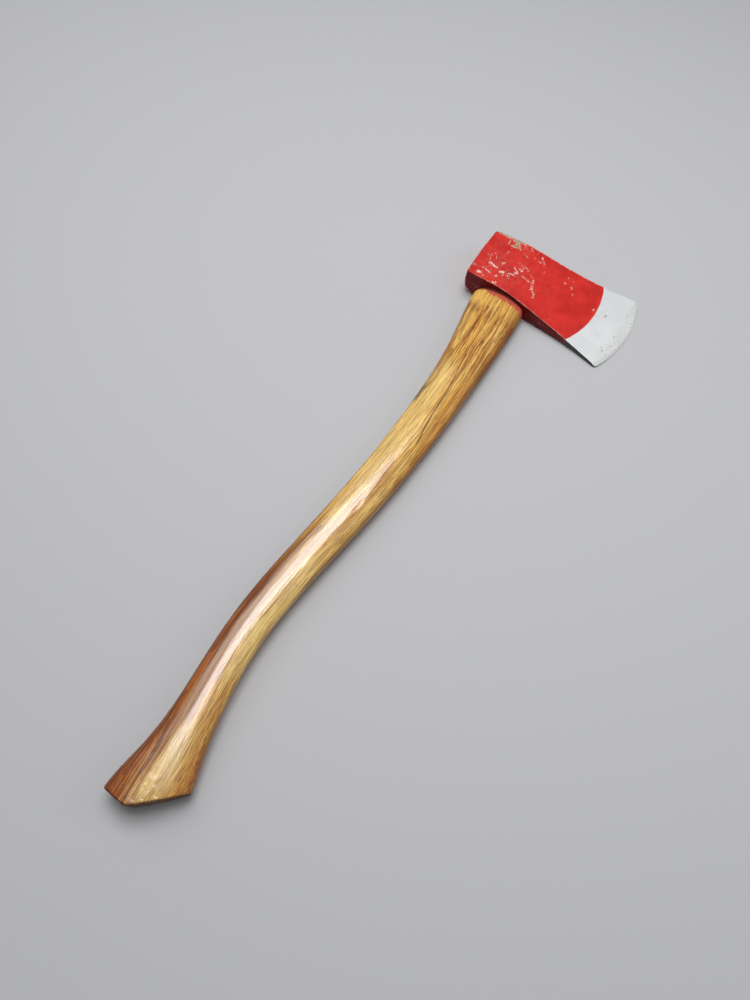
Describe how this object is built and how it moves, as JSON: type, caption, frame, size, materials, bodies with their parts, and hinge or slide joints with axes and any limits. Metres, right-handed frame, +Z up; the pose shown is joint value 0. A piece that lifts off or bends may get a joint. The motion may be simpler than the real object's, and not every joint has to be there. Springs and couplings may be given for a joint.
{
  "type": "fire axe",
  "caption": "Single-bit fire axe with a painted wedge head and a curved hickory handle ending in a fawn's-foot knob, lying on its cheek.",
  "frame": {"origin": "centre of the bottom of the whole axe as it lies on one cheek: the middle of its length and width, on the surface it rests on", "axes": "+X along the handle from the knob to the top of the head, +Y from the cutting edge towards the poll, +Z up, away from the surface it lies on"},
  "size_m": [0.6158, 0.165, 0.028],
  "materials": {
    "head_paint": "bright red satin enamel on forged steel, chipped and scratched, the bit left bare and satin ground",
    "handle_wood": "golden amber varnished hickory, long dark grain, browned by handling along both edges",
    "wedge_wood": "bare hardwood end grain with worn red paint on it",
    "wedge_steel": "plain dull steel with worn red paint on it"
  },
  "bodies": {
    "root": {"axe_head": "head_paint", "handle": "handle_wood", "wood_wedge": "wedge_wood", "steel_wedge": "wedge_steel"}
  },
  "joints": []
}
